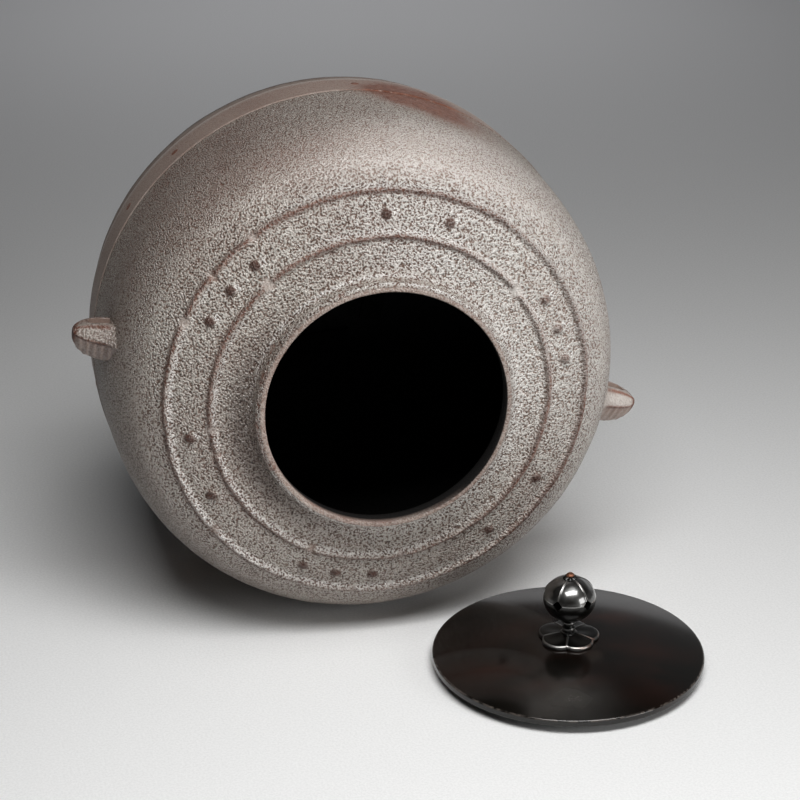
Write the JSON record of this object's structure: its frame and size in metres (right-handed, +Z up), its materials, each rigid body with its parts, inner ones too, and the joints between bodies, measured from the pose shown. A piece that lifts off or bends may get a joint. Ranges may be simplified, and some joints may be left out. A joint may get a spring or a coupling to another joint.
{
  "type": "tea kettle",
  "caption": "Cast-iron chagama tea kettle lying on its side, with a ringed and studded shoulder, side lugs, and a domed bronze lid with a pierced flower knob taken off.",
  "frame": {"origin": "on the floor, under the middle of the box round the kettle and its lid", "axes": "+Z up from the floor; the kettle lies on its side and its mouth looks along -Y, 2 degrees up; +X to the right seen from the mouth"},
  "size_m": [0.2746, 0.2665, 0.2412],
  "materials": {
    "iron_skin": "rough worm-grained casting skin, grey on the high spots, brown in the low ones",
    "fired_iron": "fire-blackened matt iron",
    "chaplet_iron": "rust-brown iron pegs",
    "lacquer": "dark lacquer, satin",
    "lid_bronze": "near-black patinated bronze, glossy, with brown clouds",
    "knob_bronze": "polished dark gunmetal patina, worn to copper on its edges",
    "copper": "hammered copper, worn"
  },
  "bodies": {
    "kettle": {"kettle_body": "iron_skin", "base_pan": "fired_iron", "lug_left": "iron_skin", "lug_right": "iron_skin", "core_chaplets": "chaplet_iron", "sound_plate_1": "fired_iron", "sound_plate_2": "fired_iron", "sound_plate_3": "fired_iron", "sound_plate_4": "fired_iron", "sound_plate_5": "fired_iron", "lacquer_beds": "lacquer"},
    "lid": {"lid_plate": "lid_bronze", "flower_seat": "knob_bronze", "knob_neck": "knob_bronze", "knob_lower": "knob_bronze", "knob_upper": "knob_bronze", "knob_rosette": "knob_bronze", "knob_pin": "copper", "pin_washer": "lid_bronze"}
  },
  "joints": [
    {"name": "lid_lift", "type": "slide", "parent": "kettle", "child": "lid", "axis": [0.385, -0.593, 0.7072], "range_m": [0, 0.12]}
  ]
}
